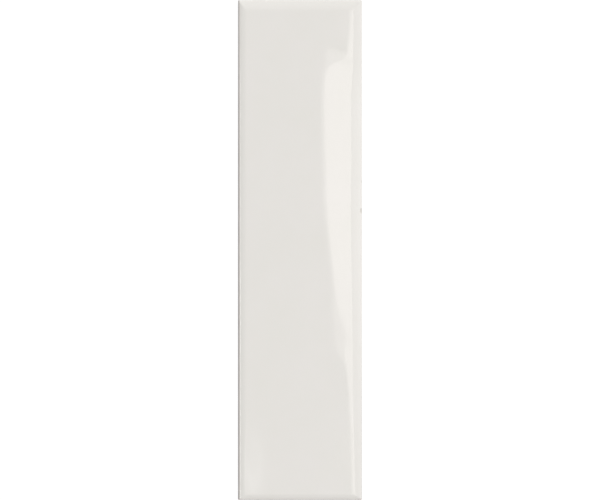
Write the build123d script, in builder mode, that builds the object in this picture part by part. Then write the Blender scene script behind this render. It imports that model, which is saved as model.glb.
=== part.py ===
from build123d import *
from math import asin, cos, degrees, exp, log1p, pi, radians, sin
import os

# A pressed and glazed oblong wall tile, one piece of fired clay.
# It lies on its back with the glazed face up: X runs across it, Y along it and Z up.
# The origin is at the middle of the back. All sizes are in millimetres.

# Overall size
length = 300.0
width = 74.4
thickness = 8.5

# Plan outline and back edge
plan_corner_radius = 0.8
back_bevel = 0.5

# Rolled edges: a wide arc falls away from the face, and a tight arc turns into the side
left_roll_width = 6.3
left_roll_radius = 16.0
left_arris_radius = 1.8
right_roll_radius = 25.0
right_arris_radius = 1.0
head_roll_width = 8.1
head_roll_radius = 24.0
foot_roll_width = 4.6
foot_roll_radius = 10.0
end_arris_radius = 0.8
roll_crest_above_face = 0.05
arris_end_lean = 4.0

# The right roll is widest past the middle, and narrower at the foot and the head
right_roll_width_foot = 6.6
right_roll_width_middle = 10.6
right_roll_width_head = 7.8
right_roll_widest_from = 20.0
right_roll_widest_to = 95.0
right_roll_head_from = 125.0

# Fall of the face towards the right edge, which starts at a line that wanders down the tile
flank_slope = 0.016
flank_softness = 3.0
flank_line_x = 14.0
flank_foot_shift = 18.8
flank_foot_y = -39.0
flank_foot_run = 28.8
flank_head_shift = 16.3
flank_head_y = 113.0
flank_head_run = 8.0

# Slow waves over the whole face, and a shallow dip by the left edge near the foot
wave_depth = 0.06
wave_length = 120.0
dip_x = -33.6
dip_y = -131.0
dip_reach_across = 6.0
dip_reach_along = 13.0
dip_depth = 0.12

# Spacing of the heights that the wavy face is fitted through, and how closely it is
face_step_across = 6.0
face_step_along = 8.0
face_tolerance = 0.005

# How far sections and surfaces reach past the outline that trims them
overrun = 5.0

# Pressed grid of shallow pockets in the back
back_border = 6.0
pocket_columns = 4
pocket_rows = 14
rib_width = 2.0
pocket_depth = 0.7
pocket_corner_radius = 1.5
pocket_draft = 30.0

# Chips out of the right arris, each a scoop that is part of a ball
chip_places = (23.4, 40.8)
chip_radii = (3.0, 1.4)
chip_bites = (0.65, 0.2)
chip_lean = 45.0

roll_crest = thickness + roll_crest_above_face
left_roll = (left_roll_width, left_roll_radius, left_arris_radius)
head_roll = (head_roll_width, head_roll_radius, end_arris_radius)
foot_roll = (foot_roll_width, foot_roll_radius, end_arris_radius)
roll_turns = (right_roll_widest_from, right_roll_widest_to, right_roll_head_from)
section_places = (-length / 2 - overrun, *roll_turns, length / 2 + overrun)


def roll_lean(roll_width, roll_radius, arris_radius):
    """Angle, in degrees, that the wide arc has turned through where the tight arc takes over."""
    return degrees(asin((roll_width - arris_radius) / (roll_radius - arris_radius)))


def roll_drop(roll_width, roll_radius, arris_radius):
    """Height from the crest of a roll down to the centre of its tight arc."""
    lean = radians(roll_lean(roll_width, roll_radius, arris_radius))
    return roll_radius * (1 - cos(lean)) + arris_radius * cos(lean)


def between(y, first_y, last_y, first_value, last_value):
    """Value part of the way from the first place to the last, and held past both."""
    share = min(max((y - first_y) / (last_y - first_y), 0), 1)
    return first_value + (last_value - first_value) * share


def right_roll(y):
    """Width and radii of the roll on the right edge."""
    swell = (right_roll_width_foot, right_roll_width_middle)
    taper = (right_roll_width_middle, right_roll_width_head)
    if y < right_roll_widest_to:
        roll_width = between(y, -length / 2, right_roll_widest_from, *swell)
    else:
        roll_width = between(y, right_roll_widest_to, right_roll_head_from, *taper)
    return (roll_width, right_roll_radius, right_arris_radius)


def rolled_edge(tip, heading, roll_width, roll_radius, arris_radius, turn):
    """Draw a rolled edge and the side below it, and return the side's lower end."""
    lean = roll_lean(roll_width, roll_radius, arris_radius)
    wide_arc = JernArc(tip, heading, roll_radius, turn * lean)
    tight_arc = JernArc(wide_arc @ 1, wide_arc % 1, arris_radius, turn * (90 - lean - arris_end_lean))
    side = Line(tight_arc @ 1, tight_arc @ 1 + (tight_arc % 1) * 2 * thickness)
    return side @ 1


def arch(span, first_roll, last_roll):
    """Section with a rolled edge at each end of its crest.

    A roll is its width and its wide and tight radii. The tight arcs stop just short of
    upright, and the sides below them lean out past the span.
    """
    crest_start = first_roll[0] - span / 2
    crest_end = span / 2 - last_roll[0]
    with BuildSketch() as section:
        with BuildLine():
            crest = Line((crest_start, roll_crest), (crest_end, roll_crest))
            first_foot = rolled_edge(crest @ 0, -(crest % 0), *first_roll, turn=1)
            last_foot = rolled_edge(crest @ 1, crest % 1, *last_roll, turn=-1)
            Line(first_foot, last_foot)
        make_face()
    return section.sketch


def logistic(value):
    """Smooth step from 0 to 1."""
    return 1 / (1 + exp(-value))


def flank_line(y):
    """Where, across the tile, the face starts to fall towards the right edge."""
    foot = flank_foot_shift * logistic((flank_foot_y - y) / flank_foot_run)
    head = flank_head_shift * logistic((y - flank_head_y) / flank_head_run)
    return flank_line_x + foot + head


def face_height(x, y):
    """Height of the wavy face above the back."""
    fall = flank_slope * flank_softness * log1p(exp((x - flank_line(y)) / flank_softness))
    wave = wave_depth / 2 * (1 - cos(2 * pi * y / wave_length) * cos(pi * x / width))
    away = ((x - dip_x) / dip_reach_across) ** 2 + ((y - dip_y) / dip_reach_along) ** 2
    return thickness - fall - wave - dip_depth * exp(-away / 2)


def stations(span, step):
    """Evenly spaced places that cover a span and the overrun on both sides of it."""
    reach = span / 2 + overrun
    count = round(2 * reach / step)
    return [-reach + 2 * reach * index / count for index in range(count + 1)]


def chip_centre(y, radius, bite):
    """Centre of the ball that scoops a chip out of the right arris."""
    lean = radians(chip_lean)
    reach = right_arris_radius + radius - bite
    x = width / 2 - right_arris_radius + reach * sin(lean)
    z = roll_crest - roll_drop(*right_roll(y)) + reach * cos(lean)
    return (x, y, z)


face_points = [
    [(x, y, face_height(x, y)) for x in stations(width, face_step_across)]
    for y in stations(length, face_step_along)
]
wavy_face = Face.make_surface_from_array_of_points(face_points, tol=face_tolerance, min_deg=3)

with BuildPart() as tile:
    # Slab under the wavy face
    with BuildSketch():
        RectangleRounded(width, length, plan_corner_radius)
    extrude(amount=2 * thickness)
    extrude(wavy_face, amount=2 * thickness, dir=(0, 0, 1), mode=Mode.SUBTRACT)

    # Rolled ends
    with BuildSketch(Plane.YZ):
        add(arch(length, foot_roll, head_roll))
    extrude(amount=width / 2 + overrun, both=True, mode=Mode.INTERSECT)

    # Rolled sides, which meet the rolled ends in hips at the corners
    for y in section_places:
        with BuildSketch(Plane.XZ.offset(-y)):
            add(arch(width, left_roll, right_roll(y)))
    loft(ruled=True, mode=Mode.INTERSECT)

    # Bevel round the back
    back_face = tile.faces().sort_by(Axis.Z)[0]
    chamfer(back_face.outer_wire().edges(), length=back_bevel)

    # Pockets in the back
    pocket_width = (width - 2 * back_border - (pocket_columns - 1) * rib_width) / pocket_columns
    pocket_length = (length - 2 * back_border - (pocket_rows - 1) * rib_width) / pocket_rows
    with BuildSketch():
        with GridLocations(
            pocket_width + rib_width, pocket_length + rib_width, pocket_columns, pocket_rows
        ):
            RectangleRounded(pocket_width, pocket_length, pocket_corner_radius)
    extrude(amount=pocket_depth, taper=pocket_draft, mode=Mode.SUBTRACT)

    # Chips in the right arris
    for y, radius, bite in zip(chip_places, chip_radii, chip_bites):
        with Locations(chip_centre(y, radius, bite)):
            Sphere(radius, mode=Mode.SUBTRACT)

tile.part.label = "tile"

os.makedirs("parts", exist_ok=True)
export_step(tile.part, "parts/tile.step")
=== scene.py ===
from math import cos, pi, radians, sin

import bmesh
import bpy
import numpy as np
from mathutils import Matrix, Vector


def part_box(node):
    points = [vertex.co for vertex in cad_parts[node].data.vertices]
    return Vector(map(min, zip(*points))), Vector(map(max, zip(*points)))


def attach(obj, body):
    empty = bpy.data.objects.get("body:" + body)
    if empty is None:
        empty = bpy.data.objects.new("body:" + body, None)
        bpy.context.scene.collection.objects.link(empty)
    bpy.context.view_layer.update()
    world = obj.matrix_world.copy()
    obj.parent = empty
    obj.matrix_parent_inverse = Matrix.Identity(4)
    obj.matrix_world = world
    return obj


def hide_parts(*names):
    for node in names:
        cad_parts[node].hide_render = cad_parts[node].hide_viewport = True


# A glazed wall tile that lies face up on a pale floor, seen from straight above.
# X runs across the tile, Y along it towards its head, and Z up. Sizes and places on the
# tile are in millimetres, and those of the room round it are in metres.

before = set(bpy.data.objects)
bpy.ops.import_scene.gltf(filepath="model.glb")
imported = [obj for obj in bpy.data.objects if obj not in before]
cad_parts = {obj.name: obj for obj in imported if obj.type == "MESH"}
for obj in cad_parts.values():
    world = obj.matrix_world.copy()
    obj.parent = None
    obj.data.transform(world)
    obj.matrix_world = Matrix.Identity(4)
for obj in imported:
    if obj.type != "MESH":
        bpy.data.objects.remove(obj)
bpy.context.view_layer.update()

# A millimetre in metres, and the size of the tile
MM = 0.001
tile_low, tile_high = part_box("tile")
HALF_WIDTH = tile_high.x / MM
HALF_LENGTH = tile_high.y / MM
THICKNESS = tile_high.z / MM

# Outline and rolled edges: how far in each roll reaches, its radius and the arris's
PLAN_CORNER = 0.8
BACK_BEVEL = 0.5
ROLL_CREST_ABOVE_FACE = 0.05
ROLL_CREST = THICKNESS + ROLL_CREST_ABOVE_FACE
LEFT_ROLL, LEFT_RADIUS, LEFT_ARRIS = 6.3, 16.0, 1.8
HEAD_ROLL, HEAD_RADIUS, HEAD_ARRIS = 8.1, 24.0, 0.8
FOOT_ROLL, FOOT_RADIUS, FOOT_ARRIS = 4.6, 10.0, 0.8
RIGHT_RADIUS, RIGHT_ARRIS = 25.0, 1.0

# The right roll is widest past the middle, and its turns are softened
RIGHT_ROLL_FOOT = 6.6
RIGHT_ROLL_MIDDLE = 10.6
RIGHT_ROLL_HEAD = 7.8
RIGHT_WIDEST_FROM = 20.0
RIGHT_WIDEST_TO = 95.0
RIGHT_HEAD_FROM = 125.0
RIGHT_SOFTENING = 6.0
RIGHT_SOFTENING_SAMPLES = 9

# Fall of the face towards the right edge, in two breaks that mostly run together
FLANK_SLOPE = 0.016
FIRST_SHARE = 0.29
FLANK_LINE_X = 13.8
FLANK_FOOT_SHIFT = 18.4
FLANK_FOOT_Y = -31.4
FLANK_FOOT_RUN = 30.6

# Both breaks are soft where they start near the middle, and crisp once shifted this far right
SOFTNESS_WIDE = 1.8
SOFTNESS_NARROW = 0.35
NARROW_SHIFT = 15.0

# Near the head the first break steps to the right along a slanted line
FIRST_HEAD_STEP = 17.0
FIRST_HEAD_PLACE = (20.0, 122.5)
FIRST_HEAD_LEAN = 0.33
FIRST_HEAD_RUN = 1.1

# The second break drifts to the right there, and takes its own step sooner
SECOND_DRIFT = 5.8
SECOND_DRIFT_Y = 115.0
SECOND_DRIFT_RUN = 13.0
SECOND_HEAD_STEP = 11.5
SECOND_HEAD_Y = 112.4
SECOND_RUN_TO_HEAD = 0.8
SECOND_RUN_TO_FOOT = 2.1

# Where the fall turns away from the middle, its first break hangs back and its second bulges
TURN_GAP = 6.6
TURN_GAP_Y = -58.0
TURN_GAP_RUN_TO_HEAD = 27.0
TURN_GAP_RUN_TO_FOOT = 8.5
TURN_NOTCH = 1.9
TURN_NOTCH_Y = -36.5
TURN_NOTCH_RUN = 6.5
TURN_BULGE = 2.8
TURN_BULGE_Y = -51.0
TURN_BULGE_RUN_TO_HEAD = 12.0
TURN_BULGE_RUN_TO_FOOT = 7.0
TURN_BLUR = 0.6
TURN_BLUR_RUN = 15.0

# Shallow dip by the left edge near the foot
DIP_PLACE = (-33.6, -131.0)
DIP_REACH = (6.0, 13.0)
DIP_DEPTH = 0.12

# Slow waves over the whole face
WAVE_DEPTH = 0.06
WAVE_LENGTH = 120.0

# Heights over which one surface blends into the next
SOFT_BLEND = 0.08
CRISP_BLEND = 0.02

# Chips out of the right arris: place along the tile, ball radius and bite
CHIPS = ((23.4, 3.0, 0.65), (40.8, 1.4, 0.2))
CHIP_LEAN = radians(45)

# Height at which the glaze stops on the sides, and its waves: size, turns round and start
GLAZE_LINE = 4.3
GLAZE_LINE_WAVES = ((0.25, 9, 1), (0.15, 31, 0), (0.08, 77, 2))

# Step of the glaze at that line, and the small lip with which it rounds over to it
GLAZE_THICKNESS = 0.09
GLAZE_LIP_START = 0.12
GLAZE_LIP_HEIGHT = 0.03
GLAZE_LIP_INSET = 0.03

# Back
BACK_BORDER = 6.0
POCKET_COLUMNS = 4
POCKET_ROWS = 14
RIB_WIDTH = 2.0
POCKET_DEPTH = 0.7
POCKET_CORNER = 1.5
POCKET_CORNER_STEPS = 4
POCKET_DRAFT = radians(30)
DRAFT_RUN = POCKET_DEPTH * np.tan(POCKET_DRAFT)

# Spacing of the mesh by the right edge and at the chips, by the sides, and by the ends
FINE_STEP, FINE_STRIP = 0.12, 3.0
SIDE_STEP, SIDE_STRIP = 0.3, 12.0
END_STEP, END_STRIP = 0.35, 9.0

# Its spacing where the fall steps near the head and elsewhere, and the least one kept
FALL_STEP, FALL_FROM, FALL_TO = 0.5, 100.0, 125.0
STEP_ACROSS = 0.75
STEP_ALONG = 1.1
LEAST_STEP = 0.1

# Angles on the tight arcs, and shares of the way down the glazed and the bare side
ARRIS_ANGLES = np.radians(np.arange(90, 14, -6))
GLAZED_SHARES = (0.12, 0.3, 0.55, 0.8, 1.0)
BARE_SHARES = (0.25, 0.5, 0.75, 1.0)

# Material slots of the mesh, and the angle past which its edges are sharp
GLAZE, BISCUIT = 0, 1
SHARP_ANGLE = radians(35)

# Keeps a division from dividing by nothing
NEARLY_ZERO = 1e-9


def logistic(value):
    """Smooth step from 0 to 1."""
    return 1 / (1 + np.exp(-value))


def peak(y, place, run_to_head, run_to_foot):
    """Smooth peak of height 1, which may run out further on one side than on the other."""
    run = np.where(y > place, run_to_head, run_to_foot)
    return np.exp(-(((y - place) / run) ** 2))


def roll_height(inset, width, radius, arris):
    """Height of a rolled edge at this distance in from the outline."""
    lean = np.arcsin((width - arris) / (radius - arris))
    drop = radius * (1 - np.cos(lean)) + arris * np.cos(lean)
    tight_end = arris * (1 - np.sin(lean))
    tight = ROLL_CREST - drop + np.sqrt(np.clip(arris**2 - (arris - inset) ** 2, 0, None))
    run = np.clip(width - inset, 0, None)
    wide = ROLL_CREST - radius + np.sqrt(radius**2 - run**2)
    return np.where(inset < tight_end, tight, wide)


def right_roll(y):
    """Width of the roll on the right edge: as in the CAD model, its turns softened."""
    places = (-HALF_LENGTH, RIGHT_WIDEST_FROM, RIGHT_WIDEST_TO, RIGHT_HEAD_FROM)
    widths = (RIGHT_ROLL_FOOT, RIGHT_ROLL_MIDDLE, RIGHT_ROLL_MIDDLE, RIGHT_ROLL_HEAD)
    shifts = np.linspace(-RIGHT_SOFTENING, RIGHT_SOFTENING, RIGHT_SOFTENING_SAMPLES)
    return sum(np.interp(y + shift, places, widths) for shift in shifts) / len(shifts)


def flank_lines(x, y):
    """Where across the tile the fall at the right starts, its first and its second break."""
    foot = FLANK_FOOT_SHIFT * logistic((FLANK_FOOT_Y - y) / FLANK_FOOT_RUN)
    gap = TURN_GAP * peak(y, TURN_GAP_Y, TURN_GAP_RUN_TO_HEAD, TURN_GAP_RUN_TO_FOOT)
    notch = TURN_NOTCH * peak(y, TURN_NOTCH_Y, TURN_NOTCH_RUN, TURN_NOTCH_RUN)
    past_head = y - FIRST_HEAD_PLACE[1] + FIRST_HEAD_LEAN * (x - FIRST_HEAD_PLACE[0])
    first_step = FIRST_HEAD_STEP * logistic(past_head / FIRST_HEAD_RUN)
    first = FLANK_LINE_X + foot - gap - notch + first_step

    drift = SECOND_DRIFT * logistic((y - SECOND_DRIFT_Y) / SECOND_DRIFT_RUN)
    bulge = TURN_BULGE * peak(y, TURN_BULGE_Y, TURN_BULGE_RUN_TO_HEAD, TURN_BULGE_RUN_TO_FOOT)
    second_run = np.where(y > SECOND_HEAD_Y, SECOND_RUN_TO_HEAD, SECOND_RUN_TO_FOOT)
    second_step = SECOND_HEAD_STEP * logistic((y - SECOND_HEAD_Y) / second_run)
    second = FLANK_LINE_X + foot + drift + bulge + second_step
    return first, second


def face_height(x, y):
    """Height of the wavy face."""
    first, second = flank_lines(x, y)
    crispness = np.clip((second - FLANK_LINE_X) / NARROW_SHIFT, 0, 1)
    blur = TURN_BLUR * peak(y, TURN_BULGE_Y, TURN_BLUR_RUN, TURN_BLUR_RUN)
    softness = SOFTNESS_WIDE + (SOFTNESS_NARROW - SOFTNESS_WIDE) * crispness + blur
    fall = softness * (
        FIRST_SHARE * np.logaddexp(0, (x - first) / softness)
        + (1 - FIRST_SHARE) * np.logaddexp(0, (x - second) / softness)
    )
    swell = np.cos(2 * pi * y / WAVE_LENGTH) * np.cos(pi * x / (2 * HALF_WIDTH))
    wave = WAVE_DEPTH / 2 * (1 - swell)
    dip_x = (x - DIP_PLACE[0]) / DIP_REACH[0]
    dip_y = (y - DIP_PLACE[1]) / DIP_REACH[1]
    dip = DIP_DEPTH * np.exp(-(dip_x**2 + dip_y**2) / 2)
    return THICKNESS - FLANK_SLOPE * fall - wave - dip


def blended(a, b, blend):
    """The lower of two heights, with the corner between them rounded off."""
    overlap = np.clip(blend - np.abs(a - b), 0, None) / blend
    return np.minimum(a, b) - overlap**2 * blend / 4


def top_height(x, y):
    """Height of the glazed top, face and rolled edges together."""
    left = roll_height(HALF_WIDTH + x, LEFT_ROLL, LEFT_RADIUS, LEFT_ARRIS)
    right = roll_height(HALF_WIDTH - x, right_roll(y), RIGHT_RADIUS, RIGHT_ARRIS)
    head = roll_height(HALF_LENGTH - y, HEAD_ROLL, HEAD_RADIUS, HEAD_ARRIS)
    foot = roll_height(HALF_LENGTH + y, FOOT_ROLL, FOOT_RADIUS, FOOT_ARRIS)
    height = blended(face_height(x, y), head, SOFT_BLEND)
    height = blended(height, foot, SOFT_BLEND)
    height = blended(height, left, SOFT_BLEND)
    return blended(height, right, CRISP_BLEND)


def chipped(x, y, z):
    """The height with the chips taken out, and whether a point lies in one."""
    out = np.zeros(np.shape(z), bool)
    for place, radius, bite in CHIPS:
        rim = float(top_height(np.array(HALF_WIDTH), np.array(place)))
        reach = RIGHT_ARRIS + radius - bite
        centre_x = HALF_WIDTH - RIGHT_ARRIS + reach * cos(CHIP_LEAN)
        centre_z = rim + reach * sin(CHIP_LEAN)
        span = radius**2 - (x - centre_x) ** 2 - (y - place) ** 2
        cut = centre_z - np.sqrt(np.clip(span, 0, None))
        inside = (span > 0) & (cut < z)
        z = np.where(inside, cut, z)
        out |= inside
    return z, out


def glaze_line(x, y):
    """Height at which the glaze stops on the sides: an uneven line."""
    around = np.arctan2(y / HALF_LENGTH, x / HALF_WIDTH)
    waves = (size * np.sin(turns * around + start) for size, turns, start in GLAZE_LINE_WAVES)
    return sum(waves, GLAZE_LINE)


def stations(half, low_arris, high_arris, step_at):
    """Places from one edge to the other, close together on the tight arcs of the arrises."""
    places = list(-half + low_arris * (1 - np.sin(ARRIS_ANGLES)))
    edge = high_arris * (1 - np.sin(ARRIS_ANGLES))
    last = half - edge[-1]
    while places[-1] < last:
        places.append(places[-1] + step_at(places[-1]))
    if places[-2] < last < places[-1] and last - places[-2] < LEAST_STEP:
        places.pop()
    places[-1] = last
    places.extend(half - edge[-2::-1])
    return np.array(places)


def step_across(x):
    """Spacing of the mesh across the tile."""
    if HALF_WIDTH - x < FINE_STRIP:
        return FINE_STEP
    return SIDE_STEP if HALF_WIDTH - abs(x) < SIDE_STRIP else STEP_ACROSS


def step_along(y):
    """Spacing of the mesh along the tile."""
    if any(abs(y - place) < radius for place, radius, _ in CHIPS):
        return FINE_STEP
    if HALF_LENGTH - abs(y) < END_STRIP:
        return END_STEP
    return FALL_STEP if FALL_FROM < y < FALL_TO else STEP_ALONG


def rounded_plan(x, y):
    """Pulls the points of a square corner onto the plan's rounded one."""
    past_x = np.abs(x) - (HALF_WIDTH - PLAN_CORNER)
    past_y = np.abs(y) - (HALF_LENGTH - PLAN_CORNER)
    corner = (past_x > 0) & (past_y > 0)
    reach = np.maximum(np.hypot(past_x, past_y), NEARLY_ZERO)
    pull = np.where(corner, np.maximum(past_x, past_y) / reach, 1.0)
    new_x = np.where(corner, np.sign(x) * (HALF_WIDTH - PLAN_CORNER + past_x * pull), x)
    new_y = np.where(corner, np.sign(y) * (HALF_LENGTH - PLAN_CORNER + past_y * pull), y)
    return new_x, new_y


def inset_plan(x, y, distance):
    """Moves points of the outline straight in from it."""
    core_x = np.clip(x, -(HALF_WIDTH - PLAN_CORNER), HALF_WIDTH - PLAN_CORNER)
    core_y = np.clip(y, -(HALF_LENGTH - PLAN_CORNER), HALF_LENGTH - PLAN_CORNER)
    out_x = x - core_x
    out_y = y - core_y
    reach = np.hypot(out_x, out_y)
    return x - out_x / reach * distance, y - out_y / reach * distance


def build_top():
    """Vertices, faces and materials of the glazed top, and the indices round its rim."""
    xs = stations(HALF_WIDTH, LEFT_ARRIS, RIGHT_ARRIS, step_across)
    ys = stations(HALF_LENGTH, FOOT_ARRIS, HEAD_ARRIS, step_along)
    grid_x, grid_y = np.meshgrid(xs, ys)
    grid_z, chip = chipped(grid_x, grid_y, top_height(grid_x, grid_y))
    plan_x, plan_y = rounded_plan(grid_x, grid_y)
    verts = list(zip(plan_x.ravel(), plan_y.ravel(), grid_z.ravel()))
    index = np.arange(grid_x.size).reshape(grid_x.shape)
    quads = np.stack([index[:-1, :-1], index[:-1, 1:], index[1:, 1:], index[1:, :-1]], axis=-1)
    broken = chip[:-1, :-1] & chip[:-1, 1:] & chip[1:, 1:] & chip[1:, :-1]
    faces = quads.reshape(-1, 4).tolist()
    kinds = np.where(broken, BISCUIT, GLAZE).ravel().tolist()
    rim = np.concatenate([index[0, :-1], index[:-1, -1], index[-1, :0:-1], index[:0:-1, 0]])
    return verts, faces, kinds, rim


def side_rings(x, y, z):
    """Rings down the sides from the rim to the back: inset, height and material of each."""
    line = glaze_line(x, y)
    rings = []
    for share in GLAZED_SHARES:
        rings.append((0.0, z + (line + GLAZE_LIP_START - z) * share, GLAZE))
    rings.append((GLAZE_LIP_INSET, line + GLAZE_LIP_HEIGHT, GLAZE))
    rings.append((GLAZE_THICKNESS, line, GLAZE))
    for share in BARE_SHARES:
        rings.append((GLAZE_THICKNESS, line + (BACK_BEVEL - line) * share, BISCUIT))
    rings.append((BACK_BEVEL, np.zeros_like(line), BISCUIT))
    return rings


def add_sides(verts, faces, kinds, rim):
    """Adds the sides below the rim, and returns the indices of their lowest ring."""
    x, y, z = np.array([verts[i] for i in rim]).T
    above = rim
    for inset, height, kind in side_rings(x, y, z):
        below = np.arange(len(verts), len(verts) + len(rim))
        verts.extend(zip(*inset_plan(x, y, inset), height))
        for i in range(len(rim)):
            after = (i + 1) % len(rim)
            faces.append([above[i], below[i], below[after], above[after]])
            kinds.append(kind)
        above = below
    return above


def rounded_loop(low_x, low_y, high_x, high_y, radius):
    """Points of a rounded rectangle, anticlockwise from its right side."""
    points = []
    for centre_x, centre_y, start in (
        (high_x - radius, high_y - radius, 0),
        (low_x + radius, high_y - radius, 90),
        (low_x + radius, low_y + radius, 180),
        (high_x - radius, low_y + radius, 270),
    ):
        for step in range(POCKET_CORNER_STEPS + 1):
            angle = radians(start + 90 * step / POCKET_CORNER_STEPS)
            points.append((centre_x + radius * cos(angle), centre_y + radius * sin(angle)))
    return points


def new_verts(work, points, height):
    """Vertices at these points of the plan, all at one height."""
    return [work.verts.new((x * MM, y * MM, height * MM)) for x, y in points]


def clay_face(work, verts):
    """A face of bare clay between these vertices."""
    work.faces.new(verts).material_index = BISCUIT


def pocket_loops(work, low_x, low_y, high_x, high_y):
    """Vertices round the mouth of a drafted pocket, and round its floor."""
    mouth = rounded_loop(low_x, low_y, high_x, high_y, POCKET_CORNER)
    low_x, low_y = low_x + DRAFT_RUN, low_y + DRAFT_RUN
    high_x, high_y = high_x - DRAFT_RUN, high_y - DRAFT_RUN
    floor = rounded_loop(low_x, low_y, high_x, high_y, POCKET_CORNER - DRAFT_RUN)
    return new_verts(work, mouth, 0), new_verts(work, floor, POCKET_DEPTH)


def add_pocket(work, cell, mouth, floor):
    """Faces of a pocket, and those from its mouth out to the four corners of its cell."""
    count = len(mouth)
    side = count // 4
    for quarter in range(4):
        last = quarter * side + side - 1
        for k in range(quarter * side, last):
            clay_face(work, [cell[quarter], mouth[k], mouth[k + 1]])
        next_corner = cell[(quarter + 1) % 4]
        clay_face(work, [cell[quarter], mouth[last], mouth[(last + 1) % count], next_corner])
    for k in range(count):
        after = (k + 1) % count
        clay_face(work, [mouth[k], floor[k], floor[after], mouth[after]])
    clay_face(work, floor)


def fill_border(work, cells, outline):
    """Fills the plain border between the outer edge of the cells and the outline."""
    edges = []
    for ring in (cells, outline):
        for k, vert in enumerate(ring):
            pair = (vert, ring[(k + 1) % len(ring)])
            edges.append(work.edges.get(pair) or work.edges.new(pair))
    filled = bmesh.ops.triangle_fill(work, edges=edges, use_beauty=True)
    for item in filled["geom"]:
        if isinstance(item, bmesh.types.BMFace):
            item.material_index = BISCUIT


def add_back(work, outline):
    """Fills the back: ribs and drafted pockets inside a plain border."""
    cell_x = (2 * HALF_WIDTH - 2 * BACK_BORDER + RIB_WIDTH) / POCKET_COLUMNS
    cell_y = (2 * HALF_LENGTH - 2 * BACK_BORDER + RIB_WIDTH) / POCKET_ROWS
    left = -cell_x * POCKET_COLUMNS / 2
    foot = -cell_y * POCKET_ROWS / 2
    corners = {}

    def corner(i, j):
        """A corner that cells share, made when it is first asked for."""
        if (i, j) not in corners:
            corners[i, j] = new_verts(work, [(left + i * cell_x, foot + j * cell_y)], 0)[0]
        return corners[i, j]

    for i in range(POCKET_COLUMNS):
        for j in range(POCKET_ROWS):
            low_x = left + i * cell_x + RIB_WIDTH / 2
            low_y = foot + j * cell_y + RIB_WIDTH / 2
            high_x = low_x + cell_x - RIB_WIDTH
            high_y = low_y + cell_y - RIB_WIDTH
            mouth, floor = pocket_loops(work, low_x, low_y, high_x, high_y)
            cell = [corner(i + 1, j + 1), corner(i, j + 1), corner(i, j), corner(i + 1, j)]
            add_pocket(work, cell, mouth, floor)

    cells = [corner(i, 0) for i in range(POCKET_COLUMNS)]
    cells += [corner(POCKET_COLUMNS, j) for j in range(POCKET_ROWS)]
    cells += [corner(i, POCKET_ROWS) for i in range(POCKET_COLUMNS, 0, -1)]
    cells += [corner(0, j) for j in range(POCKET_ROWS, 0, -1)]
    fill_border(work, cells, outline)


def build_tile():
    """One closed mesh: glazed top, sides with the glaze line, back with its pockets."""
    verts, faces, kinds, rim = build_top()
    outline = add_sides(verts, faces, kinds, rim)
    mesh = bpy.data.meshes.new("glazed_tile")
    mesh.from_pydata([(x * MM, y * MM, z * MM) for x, y, z in verts], [], faces)
    mesh.polygons.foreach_set("material_index", kinds)
    mesh.update()
    work = bmesh.new()
    work.from_mesh(mesh)
    work.verts.ensure_lookup_table()
    add_back(work, [work.verts[i] for i in outline])
    bmesh.ops.recalc_face_normals(work, faces=work.faces)
    work.to_mesh(mesh)
    work.free()
    return mesh


class Nodes:
    """Short ways to add and join shader nodes."""

    def __init__(self, tree):
        self.tree = tree

    def add(self, kind, **settings):
        """A new node with these settings."""
        node = self.tree.nodes.new(kind)
        for name, value in settings.items():
            setattr(node, name, value)
        return node

    def feed(self, socket, value):
        """Gives a socket a link or a fixed value."""
        if isinstance(value, bpy.types.NodeSocket):
            self.tree.links.new(value, socket)
        else:
            socket.default_value = value

    def split(self, vector):
        """The three parts of a vector."""
        node = self.add("ShaderNodeSeparateXYZ")
        self.feed(node.inputs[0], vector)
        return node.outputs

    def math(self, operation, *values):
        """The result of one operation on these values."""
        node = self.add("ShaderNodeMath", operation=operation)
        for socket, value in zip(node.inputs, values):
            self.feed(socket, value)
        return node.outputs[0]

    def remap(self, value, low, high, to_low, to_high):
        """Moves a value from one range to another, held at both ends."""
        node = self.add("ShaderNodeMapRange", clamp=True)
        for socket, item in zip(node.inputs, (value, low, high, to_low, to_high)):
            self.feed(socket, item)
        return node.outputs[0]

    def noise(self, place, scale, detail):
        """Smooth noise, its scale per metre."""
        node = self.add("ShaderNodeTexNoise")
        self.feed(node.inputs["Vector"], place)
        self.feed(node.inputs["Scale"], scale)
        self.feed(node.inputs["Detail"], detail)
        return node.outputs[0]

    def clouds(self, place, noise, span, low=0.0, high=1.0):
        """Noise that goes from low to high over this span of its own values."""
        return self.remap(self.noise(place, *noise), *span, low, high)

    def mix(self, share, first, second):
        """A colour this share of the way from the first to the second."""
        node = self.add("ShaderNodeMix", data_type="RGBA")
        self.feed(node.inputs[0], share)
        self.feed(node.inputs[6], first)
        self.feed(node.inputs[7], second)
        return node.outputs[2]

    def bump(self, height, distance):
        """A normal for relief of this height."""
        node = self.add("ShaderNodeBump")
        self.feed(node.inputs["Height"], height)
        node.inputs["Distance"].default_value = distance
        return node.outputs[0]

    def surface(self, colour, roughness, ior, normal):
        """Ends the tree in a shader with this colour, gloss and relief."""
        shader = self.add("ShaderNodeBsdfPrincipled")
        shader.inputs["Roughness"].default_value = roughness
        shader.inputs["IOR"].default_value = ior
        self.feed(shader.inputs["Base Color"], colour)
        self.feed(shader.inputs["Normal"], normal)
        out = self.add("ShaderNodeOutputMaterial")
        self.feed(out.inputs["Surface"], shader.outputs["BSDF"])


def material(name):
    """A new material without nodes, and its node tree."""
    made = bpy.data.materials.new(name)
    made.use_nodes = True
    made.node_tree.nodes.clear()
    return made, made.node_tree


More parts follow.
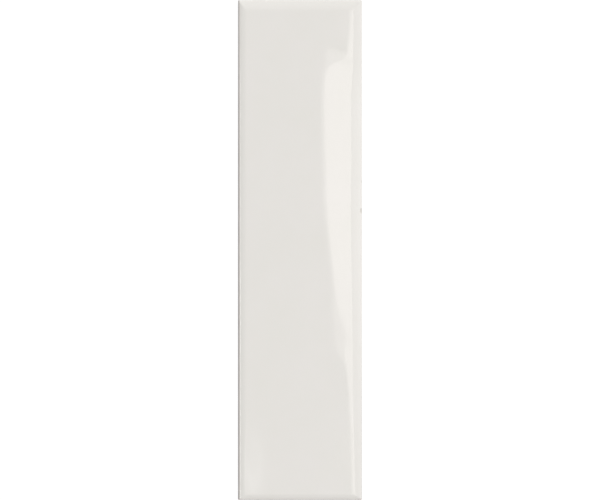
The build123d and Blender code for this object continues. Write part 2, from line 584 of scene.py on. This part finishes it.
# Glaze: two shades of the coat, a lighter one painted on as light, and a grey painted on as shade
COAT_DARK = (0.790, 0.772, 0.731, 1)
COAT_LIGHT = (0.806, 0.783, 0.751, 1)
COAT_PAINTED_LIGHT = (0.812, 0.796, 0.757, 1)
COAT_PAINTED_SHADE = (0.322, 0.295, 0.285, 1)
COAT_ROUGHNESS = 0.04
COAT_IOR = 1.5

# Mottle and ripple of the glaze: noises by scale and detail, and the ripple's depth
BROAD_NOISE = (26.0, 1.0)
CLOSE_NOISE = (95.0, 2.0)
CLOSE_SHARE = 0.4
MOTTLE_SPAN = (0.3, 0.7)
RIPPLE_NOISE = (60.0, 1.0)
RIPPLE_DEPTH = 0.012 * MM

# Painted shade over the left arris, uneven and above its side, fading out over these insets
LEFT_SHADE_SPAN = (0.42, 1.08)
LEFT_SHADE_HEIGHTS = (5.9 * MM, 6.6 * MM)
LEFT_SHADE_NOISE = (130.0, 2.0)
LEFT_SHADE_NOISE_SPAN = (0.35, 0.65)
LEFT_SHADE_LEAST = 0.88

# The painted shade there is weaker towards the head
LEFT_SHADE_HEAD_SPAN = (70 * MM, 140 * MM)
LEFT_SHADE_AT_HEAD = 0.72

# Painted shade over the right arris, and a little over the outer part of its roll, more at the
# foot
RIGHT_SHADE_SPAN = (0.0, 0.8)
ROLL_SHADE_SPAN = (3.0, 4.8)
ROLL_SHADE = 0.08
RIGHT_SHADE_FOOT_SPAN = (-50 * MM, -100 * MM)
RIGHT_SHADE_AT_HEAD = 0.23
RIGHT_SHADE_AT_FOOT = 0.46

# Painted shade at the rim of both ends, and more at the foot
ENDS_SHADE_SPAN = (0.0, 0.6)
ENDS_SHADE = 0.16
FOOT_SHADE_SPAN = (0.0, 0.9)
FOOT_SHADE = 0.32

# Painted light on the left roll beside the arris, rising and falling over these insets
PAINTED_LIGHT_RISE = (2.0, 2.8)
PAINTED_LIGHT_FALL = (3.4, 5.2)


def painted_left_shade(nodes, place, left_inset, y, z):
    """Share of painted shade over the left arris, from 0 where there is none to 1."""
    painted_shade = nodes.remap(left_inset, *LEFT_SHADE_SPAN, 1.0, 0.0)
    above_side = nodes.remap(z, *LEFT_SHADE_HEIGHTS, 0.0, 1.0)
    uneven = nodes.clouds(place, LEFT_SHADE_NOISE, LEFT_SHADE_NOISE_SPAN, low=LEFT_SHADE_LEAST)
    towards_head = nodes.remap(y, *LEFT_SHADE_HEAD_SPAN, 1.0, LEFT_SHADE_AT_HEAD)
    painted_shade = nodes.math("MULTIPLY", nodes.math("MULTIPLY", painted_shade, above_side), uneven)
    return nodes.math("MULTIPLY", painted_shade, towards_head)


def painted_right_shade(nodes, x, y):
    """Share of painted shade over the right arris and the outer part of its roll."""
    right_inset = nodes.math("MULTIPLY_ADD", x, -1 / MM, HALF_WIDTH)
    towards_foot = nodes.remap(y, *RIGHT_SHADE_FOOT_SPAN, RIGHT_SHADE_AT_HEAD, RIGHT_SHADE_AT_FOOT)
    arris = nodes.remap(right_inset, *RIGHT_SHADE_SPAN, 1.0, 0.0)
    roll = nodes.remap(right_inset, *ROLL_SHADE_SPAN, ROLL_SHADE, 0.0)
    return nodes.math("MULTIPLY", nodes.math("MAXIMUM", arris, roll), towards_foot)


def painted_end_shade(nodes, y):
    """Share of painted shade at the head and the foot."""
    end_inset = nodes.math("MULTIPLY_ADD", nodes.math("ABSOLUTE", y), -1 / MM, HALF_LENGTH)
    foot_inset = nodes.math("MULTIPLY_ADD", y, 1 / MM, HALF_LENGTH)
    ends = nodes.remap(end_inset, *ENDS_SHADE_SPAN, ENDS_SHADE, 0.0)
    foot = nodes.remap(foot_inset, *FOOT_SHADE_SPAN, FOOT_SHADE, 0.0)
    return nodes.math("MAXIMUM", foot, ends)


def mottled_coat(nodes, place):
    """Colour of the glaze, faintly mottled."""
    broad = nodes.clouds(place, BROAD_NOISE, MOTTLE_SPAN)
    close = nodes.clouds(place, CLOSE_NOISE, MOTTLE_SPAN)
    broad_part = nodes.math("MULTIPLY", broad, 1 - CLOSE_SHARE)
    mottle = nodes.math("MULTIPLY_ADD", close, CLOSE_SHARE, broad_part)
    return nodes.mix(mottle, COAT_DARK, COAT_LIGHT)


def glaze_material():
    """White gloss glaze, faintly mottled; painted shade at the rims, painted light by the left
    arris.
    """
    made, tree = material("white_gloss_glaze")
    nodes = Nodes(tree)
    place = nodes.add("ShaderNodeTexCoord").outputs["Object"]
    x, y, z = nodes.split(place)
    left_inset = nodes.math("MULTIPLY_ADD", x, 1 / MM, HALF_WIDTH)
    # Painted light: the coat is mixed towards a lighter colour on the left roll beside the arris
    rise = nodes.remap(left_inset, *PAINTED_LIGHT_RISE, 0.0, 1.0)
    fall = nodes.remap(left_inset, *PAINTED_LIGHT_FALL, 1.0, 0.0)
    painted_light = nodes.math("MINIMUM", rise, fall)
    coat_with_painted_light = nodes.mix(painted_light, mottled_coat(nodes, place), COAT_PAINTED_LIGHT)
    # Painted shade: the coat is mixed towards grey over the arrises, the right roll's rim and the
    # ends
    left = painted_left_shade(nodes, place, left_inset, y, z)
    side_painted_shade = nodes.math("MAXIMUM", left, painted_right_shade(nodes, x, y))
    painted_shade = nodes.math("MAXIMUM", side_painted_shade, painted_end_shade(nodes, y))
    colour = nodes.mix(painted_shade, coat_with_painted_light, COAT_PAINTED_SHADE)
    ripple = nodes.bump(nodes.noise(place, *RIPPLE_NOISE), RIPPLE_DEPTH)
    nodes.surface(colour, COAT_ROUGHNESS, COAT_IOR, ripple)
    return made


# Fired clay: its two shades, its gloss, its clouds and its grains
CLAY_DARK = (0.61, 0.585, 0.54, 1)
CLAY_LIGHT = (0.705, 0.684, 0.64, 1)
CLAY_ROUGHNESS = 0.85
CLAY_IOR = 1.4
CLOUD_NOISE = (40.0, 2.0)
CLOUD_SPAN = (0.3, 0.7)
GRAIN_NOISE = (1300.0, 3.0)
GRAIN_SPAN = (0.32, 0.68)
GRAIN_SHARE = 0.6
GRAIN_DEPTH = 0.04 * MM


def biscuit_material():
    """Pale fired clay, speckled and rough."""
    made, tree = material("fired_clay")
    nodes = Nodes(tree)
    place = nodes.add("ShaderNodeTexCoord").outputs["Object"]
    cloudy = nodes.clouds(place, CLOUD_NOISE, CLOUD_SPAN)
    grains = nodes.clouds(place, GRAIN_NOISE, GRAIN_SPAN)
    cloudy_part = nodes.math("MULTIPLY", cloudy, 1 - GRAIN_SHARE)
    share = nodes.math("MULTIPLY_ADD", grains, GRAIN_SHARE, cloudy_part)
    colour = nodes.mix(share, CLAY_DARK, CLAY_LIGHT)
    nodes.surface(colour, CLAY_ROUGHNESS, CLAY_IOR, nodes.bump(grains, GRAIN_DEPTH))
    return made


tile_mesh = build_tile()
tile_mesh.materials.append(glaze_material())
tile_mesh.materials.append(biscuit_material())
tile_mesh.polygons.foreach_set("use_smooth", [True] * len(tile_mesh.polygons))
tile_mesh.set_sharp_from_angle(angle=SHARP_ANGLE)
tile = bpy.data.objects.new("glazed_tile", tile_mesh)
bpy.context.scene.collection.objects.link(tile)
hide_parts("tile")
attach(tile, "root")

# Floor: a wide plain dish, flat round the tile and rising far out, which glows a little
FLOOR_FLAT = 8.0
FLOOR_REACH = 14.0
FLOOR_RISE = 1.6
FLOOR_STEPS = 12
FLOOR_SPOKES = 96
FLOOR_WHITE = 0.20
FLOOR_GLOW = 0.87


def floor_mesh():
    """A dish of rings round a centre, flat out to the first ring."""
    mesh = bpy.data.meshes.new("floor")
    work = bmesh.new()
    centre = work.verts.new((0, 0, 0))
    turns = [2 * pi * k / FLOOR_SPOKES for k in range(FLOOR_SPOKES)]
    inner = []
    for step in range(FLOOR_STEPS + 1):
        share = step / FLOOR_STEPS
        radius = FLOOR_FLAT + (FLOOR_REACH - FLOOR_FLAT) * share
        height = FLOOR_RISE * share**2
        ring = [work.verts.new((radius * cos(turn), radius * sin(turn), height)) for turn in turns]
        for k in range(FLOOR_SPOKES):
            after = (k + 1) % FLOOR_SPOKES
            if inner:
                work.faces.new([inner[k], ring[k], ring[after], inner[after]])
            else:
                work.faces.new([centre, ring[k], ring[after]])
        inner = ring
    work.to_mesh(mesh)
    work.free()
    return mesh


def floor_material():
    """Plain white paper with a soft light of its own."""
    made, tree = material("pale_floor")
    nodes = Nodes(tree)
    paper = nodes.add("ShaderNodeBsdfDiffuse")
    paper.inputs["Color"].default_value = (FLOOR_WHITE, FLOOR_WHITE, FLOOR_WHITE, 1)
    glow = nodes.add("ShaderNodeEmission")
    glow.inputs["Strength"].default_value = FLOOR_GLOW
    both = nodes.add("ShaderNodeAddShader")
    nodes.feed(both.inputs[0], paper.outputs[0])
    nodes.feed(both.inputs[1], glow.outputs[0])
    out = nodes.add("ShaderNodeOutputMaterial")
    nodes.feed(out.inputs["Surface"], both.outputs[0])
    return made


floor = bpy.data.objects.new("floor", floor_mesh())
bpy.context.scene.collection.objects.link(floor)
floor.data.materials.append(floor_material())

# Light all round, brightest overhead, and brighter from the right and from the head end
SKY_LEVEL = 0.766
SKY_TOP = 0.25
SKY_RIGHT = 0.60
SKY_HEAD = 0.45
SKY_LEAST = 0.02


def add_sky():
    """Soft studio light from the whole of the world."""
    world = bpy.data.worlds.new("studio")
    bpy.context.scene.world = world
    world.use_nodes = True
    nodes = Nodes(world.node_tree)
    right, ahead, up = nodes.split(nodes.add("ShaderNodeTexCoord").outputs["Generated"])
    glow = nodes.math("MULTIPLY_ADD", nodes.math("MULTIPLY", up, up), SKY_TOP, SKY_LEVEL)
    glow = nodes.math("MULTIPLY_ADD", right, SKY_RIGHT, glow)
    glow = nodes.math("MULTIPLY_ADD", ahead, SKY_HEAD, glow)
    sky = world.node_tree.nodes["Background"]
    sky.inputs["Color"].default_value = (1, 1, 1, 1)
    nodes.feed(sky.inputs["Strength"], nodes.math("MAXIMUM", glow, SKY_LEAST))


# Warm soft box overhead and to the right, whose reflection is the highlight on the face
BOX_HEIGHT = 9.0
BOX_EDGE = 0.1845
BOX_WIDTH = 1.8
BOX_NEAR, BOX_FAR = -1.8, 1.8
BOX_RIM = 0.081
BOX_TINT = (1.0, 0.955, 0.91)

# The box, two shorter ones hung just below it that brighten its middle, and its dim left rim
HIGHLIGHT_BOXES = (
    # name, left edge, width, near end, far end, drop, radiance
    ("highlight_box", BOX_EDGE, BOX_WIDTH, BOX_NEAR, BOX_FAR, 0.0, 2.15),
    ("highlight_swell", BOX_EDGE, BOX_WIDTH, -0.13, 0.33, 0.02, 0.4),
    ("highlight_core", BOX_EDGE, BOX_WIDTH, -0.02, 0.26, 0.04, 0.3),
    ("highlight_rim", BOX_EDGE - BOX_RIM, BOX_RIM, BOX_NEAR, BOX_FAR, 0.0, 1.2),
)

# Small panes up on the left, which draw a thin line along the left arris
LEFT_PANES = (
    # name, place, target, size, radiance
    ("left_pane", (-3.17, -0.11, 4.3), (0, -0.05, 0), (0.62, 0.43), 2.8),
    ("left_foot_pane", (-3.17, -0.225, 4.3), (0, -0.10, 0), (0.43, 0.43), 1.8),
)

# Dim panes overhead, beside the camera, which show in the dip
DIP_PANES = (
    # name, place across, place along, drop, size, radiance
    ("dip_pane", -0.475, -0.425, 0.0, (0.75, 0.35), 0.3),
    ("dip_swell", -0.515, -0.415, 0.02, (0.67, 0.25), 0.3),
    ("dip_core", -0.243, -0.293, 0.04, (0.115, 0.05), 1.4),
)


def soft_light(name, place, target, size, radiance, tint=(1.0, 1.0, 1.0)):
    """A rectangular soft box at a place, facing a target, as bright as given."""
    data = bpy.data.lights.new(name, "AREA")
    data.shape = "RECTANGLE"
    data.size, data.size_y = size
    data.color = tint
    data.energy = radiance * pi * size[0] * size[1]
    made = bpy.data.objects.new(name, data)
    made.location = place
    facing = Vector(target) - Vector(place)
    made.rotation_euler = facing.to_track_quat("-Z", "Y").to_euler()
    bpy.context.scene.collection.objects.link(made)


def add_lights():
    """The boxes of the highlight, and the panes."""
    for name, start, width, near, far, drop, radiance in HIGHLIGHT_BOXES:
        x = start + width / 2
        y = (near + far) / 2
        place = (x, y, BOX_HEIGHT - drop)
        soft_light(name, place, (x, y, 0), (width, far - near), radiance, BOX_TINT)
    for name, place, target, size, radiance in LEFT_PANES:
        soft_light(name, place, target, size, radiance)
    for name, x, y, drop, size, radiance in DIP_PANES:
        soft_light(name, (x, y, BOX_HEIGHT - drop), (x, y, 0), size, radiance)


# Camera straight above, through a long lens that frames the tile's length at its outline
VIEW_HEIGHT = 0.3
IMAGE_ASPECT = 600 / 500
OUTLINE_LEVEL = 0.0059
LENS_DISTANCE = 6.0
SENSOR = 36.0
FARTHEST_SEEN = 100


def add_camera():
    """The camera that looks straight down."""
    data = bpy.data.cameras.new("camera")
    data.sensor_width = SENSOR
    data.lens = SENSOR * LENS_DISTANCE / (VIEW_HEIGHT * IMAGE_ASPECT)
    data.clip_end = FARTHEST_SEEN
    camera = bpy.data.objects.new("camera", data)
    camera.location = (0, 0, OUTLINE_LEVEL + LENS_DISTANCE)
    bpy.context.scene.collection.objects.link(camera)
    bpy.context.scene.camera = camera


add_sky()
add_lights()
add_camera()
bpy.context.scene.view_settings.view_transform = "Standard"
